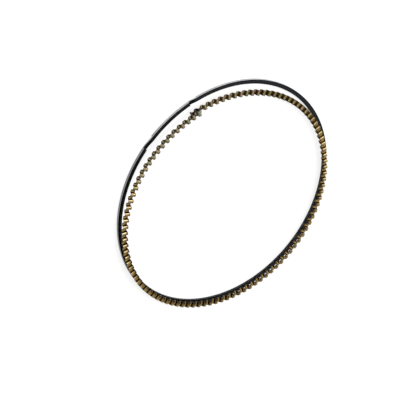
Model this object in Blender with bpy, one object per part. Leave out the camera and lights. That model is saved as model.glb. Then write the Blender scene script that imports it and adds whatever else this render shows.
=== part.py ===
"""Oil control piston ring for a 100 mm bore: a corrugated expander resting on two thin side rails.

The ring lies flat, with its axis along +Z and the rails underneath. The origin is on the floor, on the
rails' axis. The ends of all three pieces are on the -Y side. Angles are in degrees, from +X to +Y.
"""

import math

import bmesh
import bpy

MM = 0.001

# Driving dimensions of the side rails
BORE = 100.0 * MM
RAIL_WIDTH = 1.8 * MM
RAIL_THICKNESS = 0.5 * MM
RAIL_CLEARANCE = 0.1 * MM
RAIL_STEP = 5.0

# The rails' ends. Each rail changes level inside the other's gap, so the two are threaded together.
UPPER_RAIL_ABOVE_END = 318.2
UPPER_RAIL_BELOW_END = 311.9
LOWER_RAIL_ABOVE_END = 289.1
LOWER_RAIL_BELOW_END = 284.8
CROSSING_MARGIN = 0.4
CROSSING_STEPS = 6

# Driving dimensions of the expander, a strip folded into waves
STRIP_THICKNESS = 0.25 * MM
STRIP_WIDTH = 2.3 * MM
PAD_HEIGHT = 1.15 * MM
EAR_RISE = 0.3 * MM
EAR_LENGTH = 0.9 * MM
CREST_HALF_FLAT = 0.36 * MM
BEND_LENGTH = 0.19 * MM
BEND_DROP = 0.28
EXPANDER_INSET = 0.4 * MM
OVALITY = 0.7 * MM
OVAL_ANGLE = 6.9

# How the strip runs round: waves are counted from the middle of its first raised crest
WAVES_A_TURN = 105.4
FIRST_CREST_ANGLE = 286.4
FIRST_WAVE = -0.26
LAST_WAVE = 106.42
END_LIFT = 1.9 * MM

# How the expander lies on the rails
SHIFT_X = 0.3 * MM
SHIFT_Y = 2.2 * MM
RESTING_GAP = 0.1 * MM

# Sizes that follow: the rails close to the bore when the wider of their gaps is shut
RAIL_GAP = UPPER_RAIL_ABOVE_END - UPPER_RAIL_BELOW_END
RAIL_OUTER = BORE / 2 / (1 - RAIL_GAP / 360)
RAIL_INNER = RAIL_OUTER - RAIL_WIDTH
RAIL_LEVEL = RAIL_THICKNESS + RAIL_CLEARANCE
RAILS_TOP = RAIL_LEVEL + RAIL_THICKNESS
EXPANDER_RADIUS = BORE / 2 - EXPANDER_INSET
PAD_SWING = (PAD_HEIGHT - STRIP_THICKNESS) / 2
EAR_SWING = PAD_SWING + EAR_RISE
STRIP_LOWEST = RAILS_TOP + RESTING_GAP + STRIP_THICKNESS / 2 + EAR_SWING
WAVE_ANGLE = 360 / WAVES_A_TURN
WAVE_LENGTH = math.radians(WAVE_ANGLE) * (EXPANDER_RADIUS - STRIP_WIDTH / 2)

BLACKENED_STEEL = (0.018, 0.019, 0.021, 1.0)
BRONZED_STEEL = (0.42, 0.30, 0.13, 1.0)
SMOOTH_ANGLE = math.radians(35)


def clear_scene():
    for obj in list(bpy.data.objects):
        bpy.data.objects.remove(obj, do_unlink=True)


def metal(name, colour, roughness):
    material = bpy.data.materials.new(name)
    material.use_nodes = True
    shader = material.node_tree.nodes["Principled BSDF"]
    shader.inputs["Base Color"].default_value = colour
    shader.inputs["Metallic"].default_value = 1.0
    shader.inputs["Roughness"].default_value = roughness
    return material


def add_object(name, bm, material):
    """Turns the finished bmesh into a shaded object."""
    bmesh.ops.recalc_face_normals(bm, faces=bm.faces)
    mesh = bpy.data.meshes.new(name)
    bm.to_mesh(mesh)
    bm.free()
    mesh.materials.append(material)
    mesh.shade_smooth()
    mesh.set_sharp_from_angle(angle=SMOOTH_ANGLE)
    obj = bpy.data.objects.new(name, mesh)
    bpy.context.collection.objects.link(obj)
    return obj


def ease(share):
    """A smooth change from 0 to 1, level at both ends."""
    share = min(max(share, 0.0), 1.0)
    return share * share * (3 - 2 * share)


def side_rail(name, start, cross_from, cross_to, end, start_level, end_level, material):
    """A flat rail spun from start to end, which changes level between the two crossing angles."""
    cross_from += CROSSING_MARGIN
    cross_to -= CROSSING_MARGIN
    first = math.radians(start)
    corners = (
        (RAIL_INNER, 0.0),
        (RAIL_OUTER, 0.0),
        (RAIL_OUTER, RAIL_THICKNESS),
        (RAIL_INNER, RAIL_THICKNESS),
    )
    bm = bmesh.new()
    section = [bm.verts.new((r * math.cos(first), r * math.sin(first), z)) for r, z in corners]
    rim = [bm.faces.new(section)]
    stretches = (
        (cross_from - start, round((cross_from - start) / RAIL_STEP)),
        (cross_to - cross_from, CROSSING_STEPS),
        (end - cross_to, round((end - cross_to) / RAIL_STEP)),
    )
    for sweep, steps in stretches:
        spun = bmesh.ops.spin(
            bm, geom=rim, axis=(0, 0, 1), cent=(0, 0, 0), angle=math.radians(sweep), steps=steps
        )
        rim = spun["geom_last"]
    for vertex in bm.verts:
        angle = math.degrees(math.atan2(vertex.co.y, vertex.co.x))
        along = (angle - start + 1) % 360 - 1
        share = (along - cross_from + start) / (cross_to - cross_from)
        vertex.co.z += start_level + (end_level - start_level) * ease(share)
    return add_object(name, bm, material)


def wave_corners():
    """One wave, from the middle of a low crest to the next: (waves along the strip, height from -1 to 1)."""
    flat = CREST_HALF_FLAT / WAVE_LENGTH
    bend = flat + BEND_LENGTH / WAVE_LENGTH
    shoulder = 1 - BEND_DROP
    rising = ((flat - 0.5, -1.0), (bend - 0.5, -shoulder), (-bend, shoulder), (-flat, 1.0))
    falling = tuple((-along, height) for along, height in reversed(rising))
    return rising + falling


def strip_stations():
    """Every corner of the folded strip between its two ends, and the ends themselves."""
    corners = [
        (turn + along, height)
        for turn in range(math.floor(FIRST_WAVE) - 1, math.ceil(LAST_WAVE) + 2)
        for along, height in wave_corners()
    ]
    stations = []
    for (along_a, height_a), (along_b, height_b) in zip(corners, corners[1:]):
        for end in (FIRST_WAVE, LAST_WAVE):
            if along_a < end < along_b:
                share = (end - along_a) / (along_b - along_a)
                stations.append((end, height_a + share * (height_b - height_a)))
        if FIRST_WAVE < along_b < LAST_WAVE:
            stations.append((along_b, height_b))
    return stations


def expander(name, material):
    """The strip's middle surface, a ribbon three points wide, thickened by Solidify."""
    columns = (
        (0.0, PAD_SWING),
        (STRIP_WIDTH - EAR_LENGTH, PAD_SWING),
        (STRIP_WIDTH, EAR_SWING),
    )
    bm = bmesh.new()
    rows = []
    for along, height in strip_stations():
        degrees = FIRST_CREST_ANGLE + along * WAVE_ANGLE
        angle = math.radians(degrees)
        outer = EXPANDER_RADIUS + OVALITY * math.cos(2 * math.radians(degrees - OVAL_ANGLE))
        share = (LAST_WAVE - along) / (LAST_WAVE - FIRST_WAVE)
        middle = STRIP_LOWEST + END_LIFT * share
        row = []
        for inwards, swing in columns:
            x = SHIFT_X + (outer - inwards) * math.cos(angle)
            y = SHIFT_Y + (outer - inwards) * math.sin(angle)
            row.append(bm.verts.new((x, y, middle + height * swing)))
        rows.append(row)
    for row_a, row_b in zip(rows, rows[1:]):
        for column in range(len(columns) - 1):
            bm.faces.new((row_a[column], row_a[column + 1], row_b[column + 1], row_b[column]))
    strip = add_object(name, bm, material)
    thicken = strip.modifiers.new("Thickness", "SOLIDIFY")
    thicken.thickness = STRIP_THICKNESS
    thicken.offset = 0
    thicken.use_even_offset = True
    return strip


def main():
    clear_scene()
    black = metal("blackened_steel", BLACKENED_STEEL, 0.35)
    bronze = metal("bronzed_steel", BRONZED_STEEL, 0.3)
    side_rail(
        "upper_rail",
        UPPER_RAIL_ABOVE_END,
        LOWER_RAIL_BELOW_END + 360,
        LOWER_RAIL_ABOVE_END + 360,
        UPPER_RAIL_BELOW_END + 360,
        RAIL_LEVEL,
        0.0,
        black,
    )
    side_rail(
        "lower_rail",
        LOWER_RAIL_ABOVE_END,
        UPPER_RAIL_BELOW_END,
        UPPER_RAIL_ABOVE_END,
        LOWER_RAIL_BELOW_END + 360,
        RAIL_LEVEL,
        0.0,
        black,
    )
    expander("expander", bronze)


main()
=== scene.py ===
# %% [markdown]
# # Dressing an oil control ring
# The solids of this ring are already made and packed. This lesson gives them their looks: it models
# each of the three loose pieces again with finer detail, finishes them in steel that is blackened,
# plated or bronzed, and lights them as in a plain white studio.
# First the imported solids are loaded. They are the frame that every new piece is fitted to.

import math

import bpy
from mathutils import Matrix, Vector


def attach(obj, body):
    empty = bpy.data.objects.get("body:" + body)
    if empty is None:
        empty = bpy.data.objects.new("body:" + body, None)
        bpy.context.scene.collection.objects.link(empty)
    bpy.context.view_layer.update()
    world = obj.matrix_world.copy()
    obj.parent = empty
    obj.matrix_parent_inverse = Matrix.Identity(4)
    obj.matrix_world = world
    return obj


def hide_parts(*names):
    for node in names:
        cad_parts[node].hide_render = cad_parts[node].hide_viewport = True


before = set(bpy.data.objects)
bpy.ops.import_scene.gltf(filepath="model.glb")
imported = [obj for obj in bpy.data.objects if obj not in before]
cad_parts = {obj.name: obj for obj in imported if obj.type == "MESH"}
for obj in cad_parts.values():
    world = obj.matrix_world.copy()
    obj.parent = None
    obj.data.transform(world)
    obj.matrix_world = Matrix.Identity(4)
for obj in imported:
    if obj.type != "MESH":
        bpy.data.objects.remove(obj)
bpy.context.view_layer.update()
MM = 0.001
print("solids:", ", ".join(sorted(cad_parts)))

# %% [markdown]
# ## The camera
# The photograph was taken from well in front of the ring, with a long lens. The ring stood upright
# there, and here it lies on the floor, so the same view means looking down on it at an angle, with
# the camera rolled to match. So long a lens keeps the ring's ellipse as narrow as it is there. The
# camera's place and the directions of its right side, its top and its back say how it stands.

# %% Place the camera
CAMERA_PLACE = Vector((0.50039, -0.5659, 0.76238))
CAMERA_RIGHT = Vector((-0.83946, 0.00644, 0.54338))
CAMERA_UP = Vector((-0.29243, -0.84815, -0.44173))
CAMERA_BACK = Vector((0.45802, -0.52971, 0.71387))
LENS_MM = 236.57
SENSOR_MM = 36.0
NEAREST_SEEN = 0.05
FARTHEST_SEEN = 20.0

camera_data = bpy.data.cameras.new("studio_camera")
camera_data.sensor_width = SENSOR_MM
camera_data.lens = LENS_MM
camera_data.clip_start = NEAREST_SEEN
camera_data.clip_end = FARTHEST_SEEN
camera = bpy.data.objects.new("studio_camera", camera_data)
bpy.context.scene.collection.objects.link(camera)
camera_turn = Matrix((CAMERA_RIGHT, CAMERA_UP, CAMERA_BACK)).transposed().to_4x4()
camera.matrix_world = Matrix.Translation(CAMERA_PLACE) @ camera_turn
bpy.context.scene.camera = camera
bpy.context.scene.view_settings.view_transform = "Standard"
print("the camera is", round(CAMERA_PLACE.length, 2), "m from the ring")

# %% [markdown]
# ## Sizes of the side rails
# Both side rails are the same: a flat steel strip bent on edge into an open ring. Their ends are
# threaded through each other's gaps, so each rail lies on top for a part of the way round, and
# comes down by one level where it passes through the other's gap. Lengths are in metres, and
# angles in degrees from +X towards +Y. Each rail has four angles: its start, the beginning and the
# end of its way down, and its end.

# %% Sizes of the side rails
RAIL_WIDTH = 1.8 * MM
RAIL_THICKNESS = 0.5 * MM
RAIL_LEVEL = 0.6 * MM
RAIL_INNER = 49.091 * MM
RAIL_OUTER = RAIL_INNER + RAIL_WIDTH
RAILS = {
    "upper_side_rail": ("upper_rail", 318.2, 644.8, 649.1, 671.9),
    "lower_side_rail": ("lower_rail", 289.1, 311.9, 318.2, 644.8),
}
CROSSING_MARGIN = 0.4
print("the rails are", round(2 * RAIL_OUTER / MM, 1), "mm across")

# %% [markdown]
# ## Helpers for modelling
# Every piece starts as a flat plane and is shaped in edit mode. An operator acts on all that is
# selected, so one helper clears the selection before a new plane is added, and others select all of
# a mesh or only the points at some place. A finished mesh has its faces pointed outwards, and its
# gentle bends shaded smooth.

# %% Helpers for modelling
SMOOTH_ANGLE = math.radians(40)


def deselect_everything():
    if bpy.context.mode != "OBJECT":
        bpy.ops.object.mode_set(mode="OBJECT")
    bpy.ops.object.select_all(action="DESELECT")


def new_plane(name, size_x, size_y):
    """A plane of that size, flat on the floor round the origin, and the only thing selected."""
    deselect_everything()
    bpy.ops.mesh.primitive_plane_add(size=1.0, location=(0, 0, 0))
    plane = bpy.context.object
    plane.name = name
    plane.data.name = name
    plane.scale = (size_x, size_y, 1.0)
    bpy.ops.object.transform_apply(location=True, rotation=True, scale=True)
    return plane


def edit_all():
    """Goes into edit mode, with the whole mesh selected."""
    bpy.ops.object.mode_set(mode="EDIT")
    bpy.ops.mesh.select_all(action="SELECT")


def edit_points(obj, wanted):
    """Goes into edit mode, with the points selected that wanted(place) is true for."""
    bpy.ops.object.mode_set(mode="EDIT")
    bpy.ops.mesh.select_mode(type="VERT")
    bpy.ops.mesh.select_all(action="DESELECT")
    bpy.ops.object.mode_set(mode="OBJECT")
    for vertex in obj.data.vertices:
        vertex.select = wanted(vertex.co)
    bpy.ops.object.mode_set(mode="EDIT")


def finish_surface():
    """Points every face outwards and shades the gentle bends smooth."""
    edit_all()
    bpy.ops.mesh.normals_make_consistent(inside=False)
    bpy.ops.object.mode_set(mode="OBJECT")
    bpy.ops.object.shade_smooth_by_angle(angle=SMOOTH_ANGLE)


print("bends under", round(math.degrees(SMOOTH_ANGLE)), "degrees are shaded smooth")

# %% [markdown]
# ## Coordinates that follow a strip
# Rolled, lapped or heated, a strip of steel is finished along its length. So each piece gets a UV
# map that keeps where each corner of each face would lie with the strip stretched out flat, in
# millimetres: U runs along the strip, and V across it. The finish reads that map, and not the room.

# %% Keep the flat place as a UV map
def keep_flat_place(piece, name, flat_place):
    """Keeps flat_place(place), which is how far along and across each corner lies, in metres."""
    layer = piece.data.uv_layers.new(name=name)
    for loop in piece.data.loops:
        along, across = flat_place(piece.data.vertices[loop.vertex_index].co)
        layer.data[loop.index].uv = (along / MM, across / MM)
    print(name, "has", len(layer.data), "corners")


print("flat places are kept in units of", MM, "m")

# %% [markdown]
# ## Modelling a side rail
# A rail has the same section all the way round, so the natural way is to draw that section once and
# spin it about the axis. The section is a plane, as wide as the strip and as high as it is thick.
# Bevelling its four corners gives the worn, rounded edges that catch the light. It is stood upright
# where the rail starts.

# %% Draw the section of a rail
SECTION_ROUNDING = 0.05 * MM
ROUNDING_STEPS = 3


def rail_section(name, start):
    """The section of a rail, upright at the start angle."""
    section = new_plane(name, RAIL_WIDTH, RAIL_THICKNESS)
    edit_all()
    bpy.ops.mesh.bevel(offset=SECTION_ROUNDING, segments=ROUNDING_STEPS, affect="VERTICES")
    bpy.ops.object.mode_set(mode="OBJECT")
    turn = Matrix.Rotation(math.radians(start), 4, "Z") @ Matrix.Rotation(math.pi / 2, 4, "X")
    section.matrix_world = turn
    section.location = turn @ Vector((RAIL_INNER + RAIL_WIDTH / 2, RAIL_THICKNESS / 2, 0))
    bpy.ops.object.transform_apply(location=True, rotation=True, scale=True)
    return section


print("the section is rounded by", round(SECTION_ROUNDING / MM, 2), "mm")

# %% [markdown]
# The spin has a step of under one degree, so the rim looks round even from close by. The two
# flat ends are the section itself, where the spin starts and stops. After the spin, the short
# stretch inside the other rail's gap is eased from one level down to the other.

# %% Spin the rails
SPIN_STEP = 0.75


def ease(share):
    """A smooth change from 0 to 1, level at both ends."""
    share = min(max(share, 0.0), 1.0)
    return share * share * (3 - 2 * share)


def degrees_along(place, start):
    """How far round from the start a place is. A place just before the start counts as below 0."""
    return (math.degrees(math.atan2(place.y, place.x)) - start + 1) % 360 - 1


def side_rail(name, start, cross_from, cross_to, end):
    """A rail spun from start to end, which comes down between the two crossing angles."""
    rail = rail_section(name, start)
    edit_all()
    bpy.ops.mesh.spin(
        steps=round((end - start) / SPIN_STEP),
        angle=math.radians(end - start),
        center=(0, 0, 0),
        axis=(0, 0, -1),
    )
    bpy.ops.object.mode_set(mode="OBJECT")
    cross_from += CROSSING_MARGIN
    cross_to -= CROSSING_MARGIN
    for vertex in rail.data.vertices:
        along = start + degrees_along(vertex.co, start)
        vertex.co.z += RAIL_LEVEL * (1 - ease((along - cross_from) / (cross_to - cross_from)))
    finish_surface()
    keep_flat_place(
        rail,
        "along_rail",
        lambda place: (
            math.radians(degrees_along(place, start)) * RAIL_OUTER,
            math.hypot(place.x, place.y) - RAIL_INNER,
        ),
    )
    return rail


rails = []
for rail_name, (node, *angles) in RAILS.items():
    rail = side_rail(rail_name, *angles)
    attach(rail, "root")
    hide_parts(node)
    rails.append(rail)
    print(rail_name, "has", len(rail.data.polygons), "faces")

# %% [markdown]
# ## Sizes of the expander
# The expander is a thin steel strip, folded across into square waves and then bent round into a
# ring. The top and bottom of each wave are the pads that hold the side rails apart. At the inner
# edge the waves stand a little taller: those are the ears that push the rails outwards.

# %% Sizes of the folded strip
STRIP_THICKNESS = 0.25 * MM
STRIP_WIDTH = 2.3 * MM
PAD_SWING = 0.45 * MM
EAR_SWING = 0.75 * MM
EAR_LENGTH = 0.9 * MM
PAD_HALF = 0.483 * MM
BEND_ROUNDING = 0.2 * MM
BEND_STEPS = 4
print("the strip is", round(STRIP_WIDTH / MM, 1), "mm wide")

# %% [markdown]
# The ring that it makes is slightly oval. Its waves are counted from the middle of the first raised
# pad, so the two ends lie at a fraction of a wave. They overlap by a little more than one wave, so
# the strip comes down slowly on its way round, and its first end lies above its last one.

# %% Sizes of the ring that it makes
EXPANDER_RADIUS = 49.6 * MM
OVALITY = 0.7 * MM
OVAL_ANGLE = 6.9
WAVES_A_TURN = 105.4
WAVE_ANGLE = 360 / WAVES_A_TURN
WAVE_LENGTH = math.radians(WAVE_ANGLE) * (EXPANDER_RADIUS - STRIP_WIDTH / 2)
FIRST_CREST_ANGLE = 286.4
FIRST_WAVE = -0.26
LAST_WAVE = 106.42
END_LIFT = 1.9 * MM
SHIFT = (0.3 * MM, 2.2 * MM)
LOWEST_MIDDLE = 2.075 * MM
print("one wave is", round(WAVE_LENGTH / MM, 2), "mm long")

# %% [markdown]
# ## One wave
# What repeats is modelled once. A flat plane, as long as one wave and as wide as the strip, is
# cut across where the folds go and along where the ears begin. The middle is lifted and both ends
# are lowered, the inner edge is stretched taller, and the sharp folds are bevelled round. X runs
# along the strip and Y runs inwards across it.

# %% Model one wave
TOUCH = 0.001 * MM


def cut(place, direction):
    """Cuts the whole mesh at that place, square to the direction."""
    bpy.ops.mesh.select_all(action="SELECT")
    bpy.ops.mesh.bisect(plane_co=place, plane_no=direction)


def edit_folds(wave, low):
    """Selects the four folds across the strip. The wave is in edit mode before and after."""
    bpy.ops.mesh.select_all(action="DESELECT")
    bpy.ops.mesh.select_mode(type="EDGE")
    bpy.ops.object.mode_set(mode="OBJECT")
    for edge in wave.data.edges:
        a, b = (wave.data.vertices[i].co for i in edge.vertices)
        at_fold = abs(abs(a.x) - PAD_HALF) < TOUCH or abs(abs(a.x) - low) < TOUCH
        edge.select = at_fold and abs(a.x - b.x) < TOUCH
    bpy.ops.object.mode_set(mode="EDIT")


def one_wave(name):
    wave = new_plane(name, WAVE_LENGTH, STRIP_WIDTH)
    edit_all()
    bpy.ops.transform.translate(value=(0, STRIP_WIDTH / 2, 0))
    low = WAVE_LENGTH / 2 - PAD_HALF
    for x in (-low, -PAD_HALF, PAD_HALF, low):
        cut((x, 0, 0), (1, 0, 0))
    cut((0, STRIP_WIDTH - EAR_LENGTH, 0), (0, 1, 0))
    edit_points(wave, lambda place: abs(place.x) < PAD_HALF + TOUCH)
    bpy.ops.transform.translate(value=(0, 0, PAD_SWING))
    edit_points(wave, lambda place: abs(place.x) > low - TOUCH)
    bpy.ops.transform.translate(value=(0, 0, -PAD_SWING))
    edit_points(wave, lambda place: place.y > STRIP_WIDTH - TOUCH)
    bpy.ops.transform.resize(value=(1, 1, EAR_SWING / PAD_SWING), center_override=(0, 0, 0))
    edit_folds(wave, low)
    bpy.ops.mesh.bevel(offset=BEND_ROUNDING, segments=BEND_STEPS, affect="EDGES")
    bpy.ops.object.mode_set(mode="OBJECT")
    return wave


strip = one_wave("expander_strip")
print("one wave has", len(strip.data.polygons), "faces")

# %% [markdown]
# ## The whole strip
# An Array modifier repeats the wave, and merges each copy with the next one. Then the strip is
# trimmed to where its two ends are, and it keeps its flat place before it is bent round.

# %% Repeat the wave and trim the ends
SPARE_WAVES = 1
MERGE_REACH = 0.01 * MM

repeat = strip.modifiers.new("waves", "ARRAY")
repeat.count = math.ceil(LAST_WAVE) + 1 + 2 * SPARE_WAVES
repeat.use_relative_offset = False
repeat.use_constant_offset = True
repeat.constant_offset_displace = (WAVE_LENGTH, 0, 0)
repeat.use_merge_vertices = True
repeat.merge_threshold = MERGE_REACH
bpy.ops.object.modifier_apply(modifier=repeat.name)

edit_all()
bpy.ops.transform.translate(value=(-SPARE_WAVES * WAVE_LENGTH, 0, 0))
bpy.ops.mesh.bisect(
    plane_co=(FIRST_WAVE * WAVE_LENGTH, 0, 0), plane_no=(1, 0, 0), clear_inner=True
)
bpy.ops.mesh.select_all(action="SELECT")
bpy.ops.mesh.bisect(
    plane_co=(LAST_WAVE * WAVE_LENGTH, 0, 0), plane_no=(1, 0, 0), clear_outer=True
)
bpy.ops.object.mode_set(mode="OBJECT")
keep_flat_place(strip, "along_strip", lambda place: (place.x, place.y))
print("the flat strip has", len(strip.data.polygons), "faces")

# %% [markdown]
# ## Bending the strip round
# Blender's own bend makes a true circle, but this strip is slightly oval and its two ends overlap,
# one above the other. So a small helper says where each point lies on a slowly falling oval turn,
# and the points are moved there.

# %% Bend the strip round
def bent_place(place):
    """Where a point of the flat strip lies once the strip is bent round."""
    wave = place.x / WAVE_LENGTH
    degrees = FIRST_CREST_ANGLE + wave * WAVE_ANGLE
    outer = EXPANDER_RADIUS + OVALITY * math.cos(2 * math.radians(degrees - OVAL_ANGLE))
    radius = outer - place.y
    lift = END_LIFT * (LAST_WAVE - wave) / (LAST_WAVE - FIRST_WAVE)
    return (
        SHIFT[0] + radius * math.cos(math.radians(degrees)),
        SHIFT[1] + radius * math.sin(math.radians(degrees)),
        place.z + LOWEST_MIDDLE + lift,
    )


for vertex in strip.data.vertices:
    vertex.co = bent_place(vertex.co)
print("the strip goes round", round((LAST_WAVE - FIRST_WAVE) / WAVES_A_TURN, 3), "times")

# %% [markdown]
# Solidify gives the sheet its thickness, half to each side, and a narrow Bevel takes the sharpness
# off the cut edges.

# %% Thicken the strip and break its edges
CUT_EDGE = 0.035 * MM
CUT_EDGE_ANGLE = math.radians(60)

thicken = strip.modifiers.new("thickness", "SOLIDIFY")
thicken.thickness = STRIP_THICKNESS
thicken.offset = 0
thicken.use_even_offset = True
bpy.ops.object.modifier_apply(modifier=thicken.name)
edges = strip.modifiers.new("cut_edges", "BEVEL")
edges.width = CUT_EDGE
edges.segments = 1
edges.limit_method = "ANGLE"
edges.angle_limit = CUT_EDGE_ANGLE
bpy.ops.object.modifier_apply(modifier=edges.name)
finish_surface()
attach(strip, "root")
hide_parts("expander")
print("the expander has", len(strip.data.polygons), "faces")

# %% [markdown]
# ## Materials
# All three pieces are spring steel with a thin dark or coloured skin, so every finish is one
# Principled shader with nodes that vary it. The nodes are made by a few short helpers: one makes a
# piece of arithmetic, one a soft step from one value to another, and one a blend of two colours.
# The Mix node has sockets for numbers, vectors and colours under the same names, so the ones for
# colours are told apart by their numbers.

# %% Helpers for nodes
MIX_SHARE, MIX_COLOUR_A, MIX_COLOUR_B, MIX_COLOUR_OUT = 0, 6, 7, 2


def connect(tree, socket, value):
    """Sets the input socket to a number or a colour, or links another node's output to it."""
    if isinstance(value, bpy.types.NodeSocket):
        tree.links.new(value, socket)
    else:
        socket.default_value = value


def arithmetic(tree, operation, a, b=0.0):
    node = tree.nodes.new("ShaderNodeMath")
    node.operation = operation
    connect(tree, node.inputs[0], a)
    connect(tree, node.inputs[1], b)
    return node.outputs[0]


def soft_step(tree, value, low, high, from_value=0.0, to_value=1.0):
    """from_value where the value is below low, to_value above high, and a smooth change between."""
    node = tree.nodes.new("ShaderNodeMapRange")
    node.interpolation_type = "SMOOTHSTEP"
    connect(tree, node.inputs["Value"], value)
    connect(tree, node.inputs["From Min"], low)
    connect(tree, node.inputs["From Max"], high)
    connect(tree, node.inputs["To Min"], from_value)
    connect(tree, node.inputs["To Max"], to_value)
    return node.outputs["Result"]


def blend(tree, share, a, b, how="MIX"):
    """Colour a where the share is 0, and where it is 1 colour b, or a shaded by b for MULTIPLY."""
    node = tree.nodes.new("ShaderNodeMix")
    node.data_type = "RGBA"
    node.blend_type = how
    connect(tree, node.inputs[MIX_SHARE], share)
    connect(tree, node.inputs[MIX_COLOUR_A], a)
    connect(tree, node.inputs[MIX_COLOUR_B], b)
    return node.outputs[MIX_COLOUR_OUT]


print("helpers for nodes: connect, arithmetic, soft_step and blend")

# %% [markdown]
# More helpers start a material, read the UV map that every piece got when it was modelled, and give
# a piece its material. One says how far a value is from another on either side, such as a place
# from the middle line of its strip, because both edges of a strip wear alike.

# %% Helpers for finishes
def new_material(name):
    material = bpy.data.materials.new(name)
    material.use_nodes = True
    return material, material.node_tree, material.node_tree.nodes["Principled BSDF"]


def flat_coordinates(tree, name):
    """The UV map's vector, and its millimetres along and across."""
    place = tree.nodes.new("ShaderNodeUVMap")
    place.uv_map = name
    parts = tree.nodes.new("ShaderNodeSeparateXYZ")
    tree.links.new(place.outputs[0], parts.inputs[0])
    return place.outputs[0], parts.outputs["X"], parts.outputs["Y"]


def distance(tree, a, b):
    """How far a is from b, on either side of it."""
    return arithmetic(tree, "ABSOLUTE", arithmetic(tree, "SUBTRACT", a, b))


def wear(piece, material):
    """Gives the piece this material alone."""
    piece.data.materials.clear()
    piece.data.materials.append(material)
    print(piece.name, "wears", material.name)


print("helpers for finishes: new_material, flat_coordinates, distance and wear")

# %% [markdown]
# ## Grain shared by all the steel
# Rolling and lapping leave fine lines along a strip. Every finish here has them, coarser or finer,
# so they are one node group with named sockets: the place, how much longer than wide a line is, and
# how many lines there are to a millimetre.

# %% Node group for grain
GRAIN_DEPTH = 0.004 * MM
GRAIN_DETAIL = 4.0
GRAIN_ROUGHNESS = 0.6
GRAIN_CONTRAST = (0.3, 0.7)


def new_group(name, inputs, outputs):
    tree = bpy.data.node_groups.new(name, "ShaderNodeTree")
    for title, kind in inputs:
        tree.interface.new_socket(title, in_out="INPUT", socket_type=kind)
    for title, kind in outputs:
        tree.interface.new_socket(title, in_out="OUTPUT", socket_type=kind)
    return tree, tree.nodes.new("NodeGroupInput"), tree.nodes.new("NodeGroupOutput")


def noise(tree, place, scale, detail, roughness):
    node = tree.nodes.new("ShaderNodeTexNoise")
    connect(tree, node.inputs["Vector"], place)
    connect(tree, node.inputs["Scale"], scale)
    node.inputs["Detail"].default_value = detail
    node.inputs["Roughness"].default_value = roughness
    return node.outputs["Fac"]


def grain_group():
    tree, given, made = new_group(
        "strip_grain",
        (
            ("Place", "NodeSocketVector"),
            ("Length to width", "NodeSocketFloat"),
            ("Lines to a millimetre", "NodeSocketFloat"),
        ),
        (("Grain", "NodeSocketFloat"), ("Normal", "NodeSocketVector")),
    )
    stretch = tree.nodes.new("ShaderNodeCombineXYZ")
    shrink = arithmetic(tree, "DIVIDE", 1.0, given.outputs["Length to width"])
    connect(tree, stretch.inputs["X"], shrink)
    stretch.inputs["Y"].default_value = 1.0
    stretch.inputs["Z"].default_value = 1.0
    scaled = tree.nodes.new("ShaderNodeVectorMath")
    scaled.operation = "MULTIPLY"
    connect(tree, scaled.inputs[0], given.outputs["Place"])
    connect(tree, scaled.inputs[1], stretch.outputs[0])
    lines_a_mm = given.outputs["Lines to a millimetre"]
    lines = noise(tree, scaled.outputs[0], lines_a_mm, GRAIN_DETAIL, GRAIN_ROUGHNESS)
    grain = soft_step(tree, lines, *GRAIN_CONTRAST)
    bump = tree.nodes.new("ShaderNodeBump")
    bump.inputs["Distance"].default_value = GRAIN_DEPTH
    connect(tree, bump.inputs["Height"], grain)
    connect(tree, made.inputs["Grain"], grain)
    connect(tree, made.inputs["Normal"], bump.outputs[0])
    return tree


STRIP_GRAIN = grain_group()
print("node group:", STRIP_GRAIN.name)

# %% [markdown]
# A second group makes the soft cloudy marks that oil and handling leave on any ring. Both groups
# are placed in a material by one helper, which gives each material its own values.

# %% Node group for marks
MARK_DETAIL = 3.0
MARK_ROUGHNESS = 0.65
MARK_CONTRAST = (0.4, 0.68)


def marks_group():
    tree, given, made = new_group(
        "handling_marks",
        (("Place", "NodeSocketVector"), ("Marks to a millimetre", "NodeSocketFloat")),
        (("Marks", "NodeSocketFloat"),),
    )
    marks_a_mm = given.outputs["Marks to a millimetre"]
    cloud = noise(tree, given.outputs["Place"], marks_a_mm, MARK_DETAIL, MARK_ROUGHNESS)
    connect(tree, made.inputs["Marks"], soft_step(tree, cloud, *MARK_CONTRAST))
    return tree


def place_group(tree, group, **values):
    """Adds the group to a material. The values are named as its sockets, with _ for a space."""
    node = tree.nodes.new("ShaderNodeGroup")
    node.node_tree = group
    for name, value in values.items():
        connect(tree, node.inputs[name.replace("_", " ")], value)
    return node.outputs


HANDLING_MARKS = marks_group()
print("node group:", HANDLING_MARKS.name)

# %% [markdown]
# ## Finish of the side rails
# The flat sides of a rail are blackened. Lapping has left fine lines round them, a little lighter
# along the middle, and their corners are rubbed a little brighter in places. The outer edge is
# plated, because only that edge rubs on the cylinder. The plating is bright, and on the +X side it
# is painted darker, as a painted darker reflection. How far a place is from the middle line or from
# the outer edge comes from the UV map. In the values here and below, a pair gives the two ends of a
# soft step.

# %% Colours and reach of the rail's finish
BLACK_STEEL = (0.012, 0.013, 0.015, 1.0)
RUBBED_STEEL = (0.034, 0.036, 0.04, 1.0)
EDGE_STEEL = (0.09, 0.09, 0.095, 1.0)
PLATED_STEEL = (0.72, 0.72, 0.73, 1.0)
# Painted shade: the plating's colour on the +X side, standing for a darker reflection there.
PLATED_PAINTED_SHADE = (0.26, 0.26, 0.275, 1.0)
RUBBED_MM = (0.1, 0.5)
RUBBED_SHARES = (1.0, 0.25)
CORNER_MM = (0.04, 0.01)
PLATED_MM = (0.02, 0.01)
PAINTED_SHADE_FROM_X = (0.024, 0.04)
PAINTED_SHADE_SHARES = (0.1, 0.85)
LAPPED_SHARE = 0.25
RAIL_ROUGHNESS = (0.24, 0.42)


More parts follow.
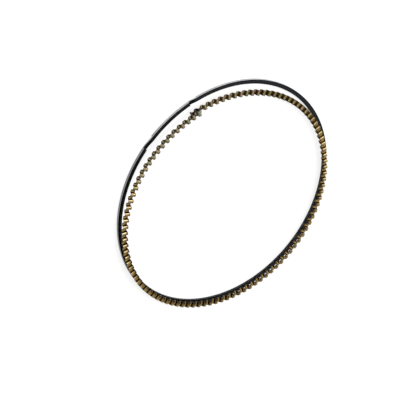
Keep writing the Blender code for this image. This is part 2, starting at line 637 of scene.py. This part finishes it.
def black_sides(tree, from_centre, half_width, grain, marks):
    middle = soft_step(tree, from_centre, *RUBBED_MM, *RUBBED_SHARES)
    rubbed = arithmetic(tree, "MULTIPLY", middle, grain)
    black = blend(tree, rubbed, BLACK_STEEL, RUBBED_STEEL)
    corner = soft_step(tree, from_centre, half_width - CORNER_MM[0], half_width - CORNER_MM[1])
    return blend(tree, arithmetic(tree, "MULTIPLY", corner, marks), black, EDGE_STEEL)


def plated_edge(tree, grain):
    coordinates = tree.nodes.new("ShaderNodeTexCoord")
    sides = tree.nodes.new("ShaderNodeSeparateXYZ")
    connect(tree, sides.inputs[0], coordinates.outputs["Object"])
    # Painted shade: the plating is painted darker on the +X side, as a darker reflection there.
    painted_shade = soft_step(tree, sides.outputs["X"], *PAINTED_SHADE_FROM_X, *PAINTED_SHADE_SHARES)
    plating = blend(tree, painted_shade, PLATED_STEEL, PLATED_PAINTED_SHADE)
    lapped = soft_step(tree, grain, 0.0, 1.0, LAPPED_SHARE, 0.0)
    return blend(tree, lapped, plating, EDGE_STEEL)


print("the plating reaches", PLATED_MM[0], "mm round the corner")

# %% [markdown]
# The finish itself puts the two together. It is metal all over, a little rougher where grain and
# marks meet.

# %% Rail finish
def rail_finish(name):
    material, tree, shader = new_material(name)
    place, _, across = flat_coordinates(tree, "along_rail")
    grain = place_group(
        tree, STRIP_GRAIN, Place=place, Length_to_width=60.0, Lines_to_a_millimetre=9.0
    )
    marks = place_group(tree, HANDLING_MARKS, Place=place, Marks_to_a_millimetre=0.35)
    width = RAIL_WIDTH / MM
    from_centre = distance(tree, across, width / 2)
    black = black_sides(tree, from_centre, width / 2, grain["Grain"], marks["Marks"])
    plated = soft_step(tree, across, width - PLATED_MM[0], width - PLATED_MM[1])
    colour = blend(tree, plated, black, plated_edge(tree, grain["Grain"]))
    connect(tree, shader.inputs["Base Color"], colour)
    shader.inputs["Metallic"].default_value = 1.0
    worn = arithmetic(tree, "MULTIPLY", grain["Grain"], marks["Marks"])
    connect(tree, shader.inputs["Roughness"], soft_step(tree, worn, 0.0, 1.0, *RAIL_ROUGHNESS))
    connect(tree, shader.inputs["Normal"], grain["Normal"])
    return material


blackened = rail_finish("blackened_rail")
for rail in rails:
    wear(rail, blackened)

# %% [markdown]
# ## Finish of the expander
# Heat has given the strip a thin oxide skin, and its colour depends on how thick that is. So each
# pad has its own tint between olive, straw and rose. Away from the two ends the strip is more
# golden, near its upper end it is ashen, and one stretch is browner. White Noise gives each pad one
# random number, from the number of the pad, which is the U coordinate rounded to half waves. Each
# stretch is given by four waves: where it begins, where it is full, where it starts to fade, and
# where it ends.

# %% Tints of the expander
OLIVE = (0.26, 0.272, 0.105, 1.0)
STRAW = (0.35, 0.285, 0.145, 1.0)
ROSE = (0.385, 0.26, 0.16, 1.0)
ASHEN = (0.4, 0.385, 0.31, 1.0)
GOLDEN = (0.42, 0.278, 0.075, 1.0)
BROWNED = (0.195, 0.147, 0.068, 1.0)
PADS_A_WAVE = 2.0
OLIVE_TO_STRAW = (0.0, 0.45)
STRAW_TO_ROSE = (0.6, 1.0)
ASHEN_UNTIL_WAVES = (8.0, 16.0)
ASHEN_SHARE = 0.3
GOLDEN_WAVES = (10.0, 18.0, 76.0, 86.0)
GOLDEN_SHARE = 0.8
BROWNED_WAVES = (79.0, 85.0, 92.0, 98.0)
BROWNED_SHARE = 0.65


def stretch_share(tree, waves, stretch):
    """1 in the middle of a stretch of the strip, 0 outside it, and a smooth change at its ends."""
    rising = soft_step(tree, waves, *stretch[:2])
    falling = soft_step(tree, waves, *stretch[2:], 1.0, 0.0)
    return arithmetic(tree, "MULTIPLY", rising, falling)


def pad_tint(tree, waves, browned):
    """The colour of the skin on each pad, before folds and wear."""
    chance = tree.nodes.new("ShaderNodeTexWhiteNoise")
    chance.noise_dimensions = "1D"
    pad = arithmetic(tree, "ROUND", arithmetic(tree, "MULTIPLY", waves, PADS_A_WAVE))
    connect(tree, chance.inputs["W"], pad)
    cool = soft_step(tree, chance.outputs["Value"], *OLIVE_TO_STRAW)
    warm = soft_step(tree, chance.outputs["Value"], *STRAW_TO_ROSE)
    tint = blend(tree, warm, blend(tree, cool, OLIVE, STRAW), ROSE)
    ashen = soft_step(tree, waves, *ASHEN_UNTIL_WAVES, ASHEN_SHARE, 0.0)
    golden = arithmetic(
        tree, "MULTIPLY", stretch_share(tree, waves, GOLDEN_WAVES), GOLDEN_SHARE
    )
    tint = blend(tree, golden, blend(tree, ashen, tint, ASHEN), GOLDEN)
    return blend(tree, arithmetic(tree, "MULTIPLY", browned, BROWNED_SHARE), tint, BROWNED)


print("tints: olive, straw and rose, then ashen, golden or browned along the strip")

# %% [markdown]
# ## Folds and bends
# The folds are painted deep brown, as painted shade, and the bends of the raised pads are painted
# pale, as a painted highlight. The shade is deepest and the bends palest on the long stretch in
# the middle. On the browner stretch the lower pads get the same painted shade as the folds.
# Places are counted in waves from the nearest raised pad's middle, so half a wave is the middle of
# a lower pad.

# %% Shade the folds and rub the bends
FOLD_SHADE = (0.42, 0.3, 0.09, 1.0)
DEEP_SHADE = (0.14, 0.085, 0.015, 1.0)
# Painted highlight colour for the bends of the raised pads.
PALE_BEND_HIGHLIGHT = (0.92, 0.78, 0.54, 1.0)
DEEP_WAVES = (13.0, 18.0, 72.0, 80.0)
FOLD_FROM = (0.17, 0.24)
LOWER_PAD_FROM = (0.34, 0.42)
LOWER_PAD_SHADES = (0.1, 0.9)
RAISED_BEND = 0.165
BEND_REACH = (0.01, 0.035)
HIGHLIGHT_SHARES = (0.1, 0.85)


# Painted shade: the folds, and on the browner stretch the lower pads too, are painted darker.
def shade_folds(tree, from_crest, deep, browned, colour):
    lower_shade = soft_step(tree, browned, 0.0, 1.0, *LOWER_PAD_SHADES)
    lower_pad = soft_step(tree, from_crest, *LOWER_PAD_FROM, 1.0, lower_shade)
    folded = arithmetic(tree, "MULTIPLY", soft_step(tree, from_crest, *FOLD_FROM), lower_pad)
    fold_shade = blend(tree, deep, FOLD_SHADE, DEEP_SHADE)
    return blend(tree, folded, colour, fold_shade, "MULTIPLY")


# Painted highlight: the bends of the raised pads are painted pale.
def paint_bend_highlights(tree, from_crest, deep, browned, colour):
    highlight_share = soft_step(tree, arithmetic(tree, "SUBTRACT", deep, browned), -1.0, 1.0, *HIGHLIGHT_SHARES)
    from_bend = distance(tree, from_crest, RAISED_BEND)
    rubbed = soft_step(tree, from_bend, *BEND_REACH, highlight_share, 0.0)
    return blend(tree, rubbed, colour, PALE_BEND_HIGHLIGHT)


print("the folds begin", round(FOLD_FROM[0] * WAVE_LENGTH / MM, 2), "mm from a raised pad's middle")

# %% [markdown]
# ## Edges and lines
# The tips of the ears are darker, because little light and no wear reaches them there. Both long
# edges of the strip are cut edges, painted dark as painted shade. The lines of the grain are
# darker too.

# %% Darken the tips, the cut edges and the lines
CUT_EDGE_SHADE = (0.05, 0.035, 0.02, 1.0)
TIP_SHADE = (0.27, 0.23, 0.17, 1.0)
TIP_MM = (0.6, 0.15)
TIP_SHARE = 0.9
CUT_MM = (0.03, 0.005)
LINE_SHARE = 0.3


def darken_edges(tree, across, grain, colour):
    width = STRIP_WIDTH / MM
    tip = soft_step(tree, across, width - TIP_MM[0], width - TIP_MM[1], 0.0, TIP_SHARE)
    colour = blend(tree, tip, colour, TIP_SHADE, "MULTIPLY")
    from_centre = distance(tree, across, width / 2)
    # Painted shade: both cut edges of the strip are painted dark.
    cut_edge_shade = soft_step(tree, from_centre, width / 2 - CUT_MM[0], width / 2 - CUT_MM[1])
    colour = blend(tree, cut_edge_shade, colour, CUT_EDGE_SHADE)
    line = soft_step(tree, grain, 0.0, 1.0, LINE_SHARE, 0.0)
    return blend(tree, line, colour, FOLD_SHADE, "MULTIPLY")


print("the dark tips are", TIP_MM[0], "mm long")

# %% [markdown]
# ## Paint at the ends
# The ends of the strip are dabbed with paint, so that whoever fits the ring can see that they meet
# and don't overlap: black and then red on the lower end, and a pale colour on the upper end.

# %% Dabs of paint
PAINT_BLACK = (0.012, 0.012, 0.013, 1.0)
PAINT_RED = (0.1, 0.012, 0.014, 1.0)
PAINT_PALE = (0.3, 0.33, 0.27, 1.0)
BLACK_FROM_WAVE = 104.8
BLACK_UNTIL_MM = (1.0, 1.5)
RED_FROM_WAVE = 105.75
PALE_UNTIL_WAVE = 0.3
PALE_SHARE = 0.8
PAINT_FADE = 0.1


def paint_dabs(tree, waves, across):
    """The mask and the colour of each dab of paint."""
    lower_end = soft_step(tree, waves, BLACK_FROM_WAVE, BLACK_FROM_WAVE + PAINT_FADE)
    outer_part = soft_step(tree, across, *BLACK_UNTIL_MM, 1.0, 0.0)
    black = arithmetic(tree, "MULTIPLY", lower_end, outer_part)
    red = soft_step(tree, waves, RED_FROM_WAVE, RED_FROM_WAVE + PAINT_FADE)
    pale = soft_step(tree, waves, PALE_UNTIL_WAVE - PAINT_FADE, PALE_UNTIL_WAVE, PALE_SHARE, 0.0)
    return (black, PAINT_BLACK), (red, PAINT_RED), (pale, PAINT_PALE)


print("the red paint covers the last", round(LAST_WAVE - RED_FROM_WAVE, 2), "of a wave")

# %% [markdown]
# The finish itself puts these together in this order: skin, marks, painted shade in the folds,
# painted highlights on the bends, the darker tips, edges and lines, and paint. Paint isn't metal,
# so the masks of the paint take the metal away where it lies.

# %% Expander finish
MARK_SHARE = 0.2
HALF_WAVE = 0.5
STRIP_ROUGHNESS = (0.2, 0.38)


def expander_finish(name):
    material, tree, shader = new_material(name)
    place, along, across = flat_coordinates(tree, "along_strip")
    waves = arithmetic(tree, "DIVIDE", along, WAVE_LENGTH / MM)
    grain = place_group(
        tree, STRIP_GRAIN, Place=place, Length_to_width=7.0, Lines_to_a_millimetre=6.0
    )
    marks = place_group(tree, HANDLING_MARKS, Place=place, Marks_to_a_millimetre=1.1)
    browned = stretch_share(tree, waves, BROWNED_WAVES)
    deep = stretch_share(tree, waves, DEEP_WAVES)
    from_crest = arithmetic(tree, "PINGPONG", waves, HALF_WAVE)
    marked = arithmetic(tree, "MULTIPLY", marks["Marks"], MARK_SHARE)
    colour = blend(tree, marked, pad_tint(tree, waves, browned), STRAW)
    colour = shade_folds(tree, from_crest, deep, browned, colour)
    colour = paint_bend_highlights(tree, from_crest, deep, browned, colour)
    colour = darken_edges(tree, across, grain["Grain"], colour)
    painted = 0.0
    for dab, paint in paint_dabs(tree, waves, across):
        colour = blend(tree, dab, colour, paint)
        painted = arithmetic(tree, "MAXIMUM", dab, painted)
    connect(tree, shader.inputs["Base Color"], colour)
    connect(tree, shader.inputs["Metallic"], arithmetic(tree, "SUBTRACT", 1.0, painted))
    worn = arithmetic(tree, "MULTIPLY", grain["Grain"], marks["Marks"])
    connect(tree, shader.inputs["Roughness"], soft_step(tree, worn, 0.0, 1.0, *STRIP_ROUGHNESS))
    connect(tree, shader.inputs["Normal"], grain["Normal"])
    return material


wear(strip, expander_finish("bronzed_strip"))

# %% [markdown]
# ## Floor
# The ring lies on a plain white floor. Its colour is a pale grey, so that it keeps a soft shadow.
# Where the camera sees it, or a polished piece reflects it, most of it is a plain white light
# instead: this is the white background of the studio, and it puts no light on the ring.

# %% The white floor
FLOOR_COLOUR = (0.85, 0.85, 0.85, 1.0)
FLOOR_ROUGHNESS = 0.9
FLOOR_SIZE = 6.0
FLOOR_WHITE = 0.6
FLOOR_GLOW = 1.36

floor = new_plane("studio_floor", FLOOR_SIZE, FLOOR_SIZE)
floor_material, tree, shader = new_material("white_floor")
shader.inputs["Base Color"].default_value = FLOOR_COLOUR
shader.inputs["Roughness"].default_value = FLOOR_ROUGHNESS
shader.inputs["Specular IOR Level"].default_value = 0.0
rays = tree.nodes.new("ShaderNodeLightPath")
seen = rays.outputs["Is Camera Ray"]
for ray in ("Is Glossy Ray", "Is Transmission Ray"):
    seen = arithmetic(tree, "MAXIMUM", seen, rays.outputs[ray])
glow = tree.nodes.new("ShaderNodeEmission")
glow.inputs["Strength"].default_value = FLOOR_GLOW
mix = tree.nodes.new("ShaderNodeMixShader")
connect(tree, mix.inputs[0], arithmetic(tree, "MULTIPLY", seen, FLOOR_WHITE))
connect(tree, mix.inputs[1], shader.outputs[0])
connect(tree, mix.inputs[2], glow.outputs[0])
connect(tree, tree.nodes["Material Output"].inputs["Surface"], mix.outputs[0])
wear(floor, floor_material)

# %% [markdown]
# ## Light
# Small folded steel shows little but reflections, so the light is a dim room with a few large soft
# boxes in it, painted on the world as round areas with soft rims. Each one is placed where a part
# of the ring mirrors it: the raised pads and the flat rails, the ears, and the bends of the strip.
# Each box has four values: its direction, how closely a ray has to point its way to meet the rim
# and then the full light, where 1 is straight at it, and its strength.

# %% Soft boxes on the world
ROOM = 0.12
SOFT_BOXES = (
    ((-0.3, -0.3, 0.9), 0.925, 0.975, 3.0),
    ((-0.65, -0.4, 0.65), 0.935, 0.98, 1.6),
    ((-0.5, 0.3, 0.81), 0.84, 0.93, 0.85),
    ((0.0, -1.0, 0.1), 0.0, 0.5, 0.3),
)
WHITE = (1.0, 1.0, 1.0, 1.0)

world = bpy.data.worlds.new("studio")
bpy.context.scene.world = world
world.use_nodes = True
tree = world.node_tree
ray_direction = tree.nodes.new("ShaderNodeTexCoord").outputs["Generated"]
light = ROOM
for direction, rim, full, strength in SOFT_BOXES:
    towards = tree.nodes.new("ShaderNodeVectorMath")
    towards.operation = "DOT_PRODUCT"
    connect(tree, towards.inputs[0], ray_direction)
    connect(tree, towards.inputs[1], Vector(direction).normalized())
    box = soft_step(tree, towards.outputs["Value"], rim, full, 0.0, strength)
    light = arithmetic(tree, "ADD", box, light)
background = tree.nodes["Background"]
background.inputs["Color"].default_value = WHITE
connect(tree, background.inputs["Strength"], light)
print("soft boxes:", len(SOFT_BOXES))
